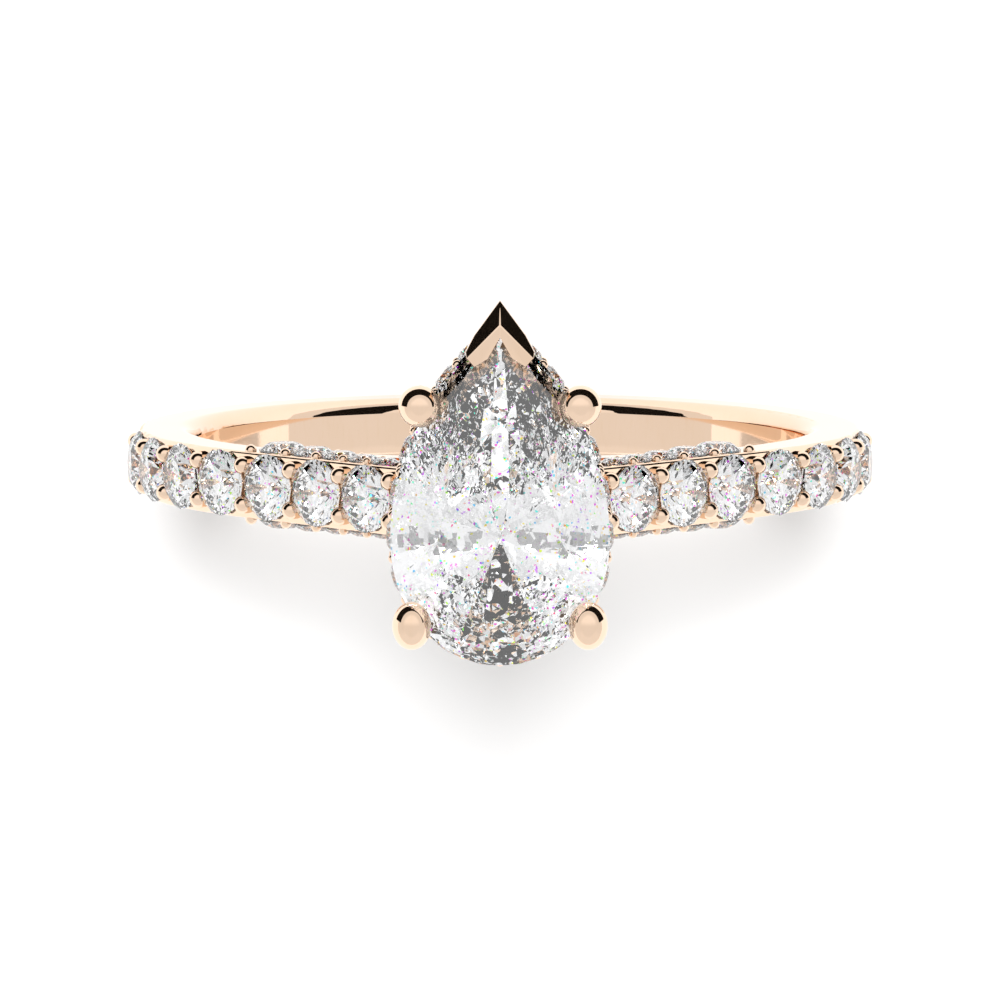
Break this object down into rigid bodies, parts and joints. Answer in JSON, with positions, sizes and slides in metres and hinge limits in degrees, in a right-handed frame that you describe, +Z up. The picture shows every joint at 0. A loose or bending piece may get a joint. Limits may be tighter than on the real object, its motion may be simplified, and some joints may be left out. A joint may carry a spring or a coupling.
{
  "type": "engagement ring",
  "caption": "Rose-gold engagement ring: pear-cut centre stone with V-prong and claws, hidden halo, cathedral shoulders set with round stones on three sides, comfort-fit band.",
  "frame": {"origin": "centre of the finger bore", "axes": "+Y along the finger bore, towards the side that the pear's tip points to; +Z up through the head and centre stone; +X to the right shoulder"},
  "size_m": [0.02, 0.0089, 0.0233],
  "materials": {
    "rose_gold": "mirror polish",
    "diamond": "faceted and polished"
  },
  "bodies": {
    "root": {"shank": "rose_gold", "head_base": "rose_gold", "lower_gallery": "rose_gold", "halo_gallery": "rose_gold", "claw_upper_left": "rose_gold", "claw_upper_right": "rose_gold", "claw_lower_left": "rose_gold", "claw_lower_right": "rose_gold", "v_prong": "rose_gold", "centre_stone": "diamond", "halo_stones": "diamond", "band_stone_left_1": "diamond", "band_stone_left_2": "diamond", "band_stone_left_3": "diamond", "band_stone_left_4": "diamond", "band_stone_left_5": "diamond", "band_stone_left_6": "diamond", "band_stone_left_7": "diamond", "band_stone_right_1": "diamond", "band_stone_right_2": "diamond", "band_stone_right_3": "diamond", "band_stone_right_4": "diamond", "band_stone_right_5": "diamond", "band_stone_right_6": "diamond", "band_stone_right_7": "diamond", "side_stone_left_front_1": "diamond", "side_stone_left_front_2": "diamond", "side_stone_left_front_3": "diamond", "side_stone_left_front_4": "diamond", "side_stone_left_front_5": "diamond", "side_stone_left_back_1": "diamond", "side_stone_left_back_2": "diamond", "side_stone_left_back_3": "diamond", "side_stone_left_back_4": "diamond", "side_stone_left_back_5": "diamond", "side_stone_right_front_1": "diamond", "side_stone_right_front_2": "diamond", "side_stone_right_front_3": "diamond", "side_stone_right_front_4": "diamond", "side_stone_right_front_5": "diamond", "side_stone_right_back_1": "diamond", "side_stone_right_back_2": "diamond", "side_stone_right_back_3": "diamond", "side_stone_right_back_4": "diamond", "side_stone_right_back_5": "diamond"}
  },
  "joints": []
}
